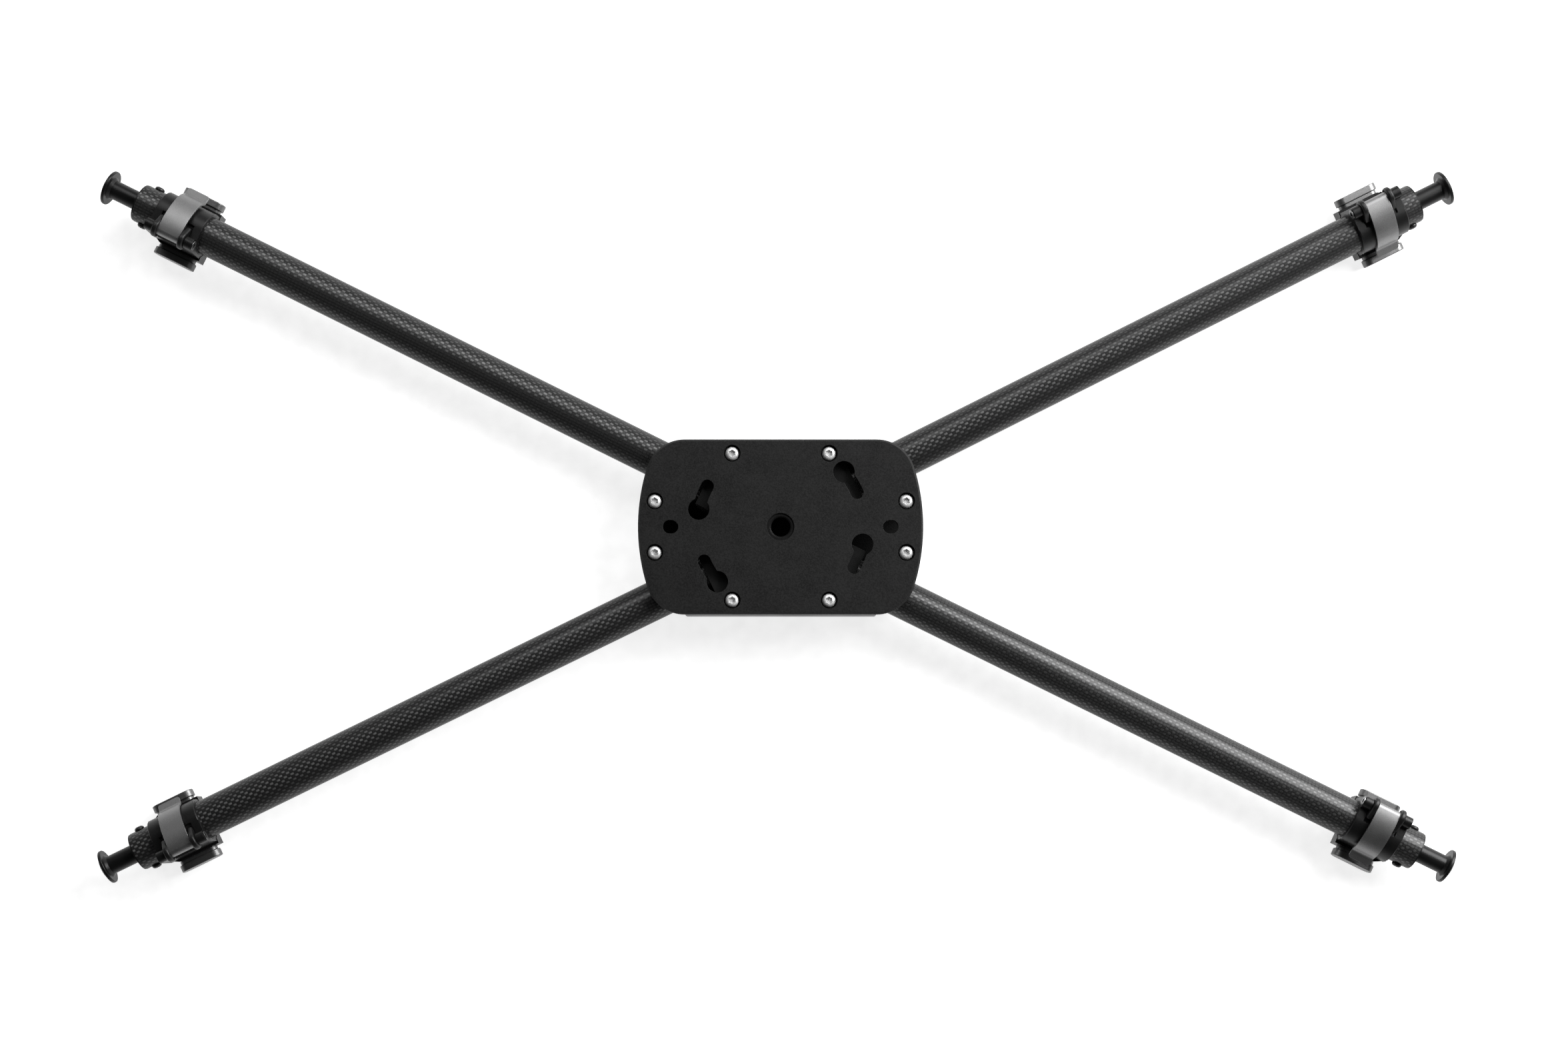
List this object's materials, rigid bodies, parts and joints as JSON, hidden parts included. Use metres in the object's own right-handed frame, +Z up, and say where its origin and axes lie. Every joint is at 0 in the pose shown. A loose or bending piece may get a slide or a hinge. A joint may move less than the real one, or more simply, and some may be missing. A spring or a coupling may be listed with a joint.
{
  "type": "four-arm carrier frame",
  "caption": "Flat X-shaped carrier frame: sandwich hub, woven carbon tubes, sliding lever clamps with side cleats, and spool-shaped tube ends.",
  "frame": {"origin": "hub axis in the plane that the hub's underside rests on", "axes": "+X along the hub's long side, +Y along its short side, +Z up through the hub's top plate"},
  "size_m": [1.0514, 0.5514, 0.0554],
  "materials": {
    "hub_black": "fine bead-blasted black anodised",
    "core_black": "machined, satin black anodised",
    "clamp_black": "satin black anodised",
    "plug_black": "turned, satin black anodised",
    "carbon_tube": "satin clear-coated woven carbon fibre",
    "lever_grey": "satin gun-metal grey anodised",
    "cleat_grey": "satin gun-metal grey anodised, blasted",
    "cam_black": "moulded black acetal",
    "liner_plastic": "moulded black nylon",
    "screw_steel": "bright stainless steel",
    "pin_steel": "bright turned steel",
    "screw_black": "black oxide steel",
    "insert_steel": "black anodised threaded bush"
  },
  "bodies": {
    "root": {"hub_top_plate": "hub_black", "hub_bottom_plate": "hub_black", "hub_core_block": "core_black", "hub_rail_back": "core_black", "hub_rail_front": "core_black", "hub_end_spacers": "core_black", "hub_centre_insert": "insert_steel", "hub_top_screws": "screw_steel", "hub_bottom_screws": "screw_steel", "hub_core_screws": "screw_black", "tube_lock_screws": "screw_black", "arm_tube_1": "carbon_tube", "end_plug_1": "plug_black", "plug_screws_1": "screw_black", "arm_tube_2": "carbon_tube", "end_plug_2": "plug_black", "plug_screws_2": "screw_black", "arm_tube_3": "carbon_tube", "end_plug_3": "plug_black", "plug_screws_3": "screw_black", "arm_tube_4": "carbon_tube", "end_plug_4": "plug_black", "plug_screws_4": "screw_black"},
    "liner_1": {"clamp_liner_1": "liner_plastic"},
    "carriage_1": {"clamp_collar_1": "clamp_black", "hinge_pin_1": "pin_steel", "cleat_hinge_side_1": "cleat_grey", "cleat_tab_side_1": "cleat_grey", "cleat_studs_1": "screw_black"},
    "lever_1": {"lever_band_1": "lever_grey", "lever_cam_1": "cam_black"},
    "liner_2": {"clamp_liner_2": "liner_plastic"},
    "carriage_2": {"clamp_collar_2": "clamp_black", "hinge_pin_2": "pin_steel", "cleat_hinge_side_2": "cleat_grey", "cleat_tab_side_2": "cleat_grey", "cleat_studs_2": "screw_black"},
    "lever_2": {"lever_band_2": "lever_grey", "lever_cam_2": "cam_black"},
    "liner_3": {"clamp_liner_3": "liner_plastic"},
    "carriage_3": {"clamp_collar_3": "clamp_black", "hinge_pin_3": "pin_steel", "cleat_hinge_side_3": "cleat_grey", "cleat_tab_side_3": "cleat_grey", "cleat_studs_3": "screw_black"},
    "lever_3": {"lever_band_3": "lever_grey", "lever_cam_3": "cam_black"},
    "liner_4": {"clamp_liner_4": "liner_plastic"},
    "carriage_4": {"clamp_collar_4": "clamp_black", "hinge_pin_4": "pin_steel", "cleat_hinge_side_4": "cleat_grey", "cleat_tab_side_4": "cleat_grey", "cleat_studs_4": "screw_black"},
    "lever_4": {"lever_band_4": "lever_grey", "lever_cam_4": "cam_black"}
  },
  "joints": [
    {"name": "clamp_slide_1", "type": "slide", "parent": "root", "child": "liner_1", "axis": [0.8944, 0.4473, 0], "range_m": [-0.3745, 0.0004]},
    {"name": "clamp_turn_1", "type": "hinge", "parent": "liner_1", "child": "carriage_1", "pos_m": [0.46106, 0.23807, 0.027], "axis": [0.8944, 0.4473, 0], "continuous": true},
    {"name": "lever_hinge_1", "type": "hinge", "parent": "carriage_1", "child": "lever_1", "pos_m": [0.45581, 0.24855, 0.04822], "axis": [-0.8944, -0.4473, 0], "range_deg": [0, 115]},
    {"name": "clamp_slide_2", "type": "slide", "parent": "root", "child": "liner_2", "axis": [-0.896, 0.444, 0], "range_m": [-0.37, 0.0049]},
    {"name": "clamp_turn_2", "type": "hinge", "parent": "liner_2", "child": "carriage_2", "pos_m": [-0.46229, 0.23655, 0.027], "axis": [-0.896, 0.444, 0], "continuous": true},
    {"name": "lever_hinge_2", "type": "hinge", "parent": "carriage_2", "child": "lever_2", "pos_m": [-0.46813, 0.22475, 0.04735], "axis": [0.896, -0.444, 0], "range_deg": [-5, 110]},
    {"name": "clamp_slide_3", "type": "slide", "parent": "root", "child": "liner_3", "axis": [-0.899, -0.4379, 0], "range_m": [-0.37, 0.0049]},
    {"name": "clamp_turn_3", "type": "hinge", "parent": "liner_3", "child": "carriage_3", "pos_m": [-0.46451, -0.23371, 0.027], "axis": [-0.899, -0.4379, 0], "continuous": true},
    {"name": "lever_hinge_3", "type": "hinge", "parent": "carriage_3", "child": "lever_3", "pos_m": [-0.45898, -0.24507, 0.04769], "axis": [0.899, 0.4379, 0], "range_deg": [0, 115]},
    {"name": "clamp_slide_4", "type": "slide", "parent": "root", "child": "liner_4", "axis": [0.8974, -0.4412, 0], "range_m": [-0.37, 0.0049]},
    {"name": "clamp_turn_4", "type": "hinge", "parent": "liner_4", "child": "carriage_4", "pos_m": [0.45863, -0.23294, 0.027], "axis": [0.8974, -0.4412, 0], "continuous": true},
    {"name": "lever_hinge_4", "type": "hinge", "parent": "carriage_4", "child": "lever_4", "pos_m": [0.46556, -0.21884, 0.04546], "axis": [-0.8974, 0.4412, 0], "range_deg": [-5, 110]}
  ]
}
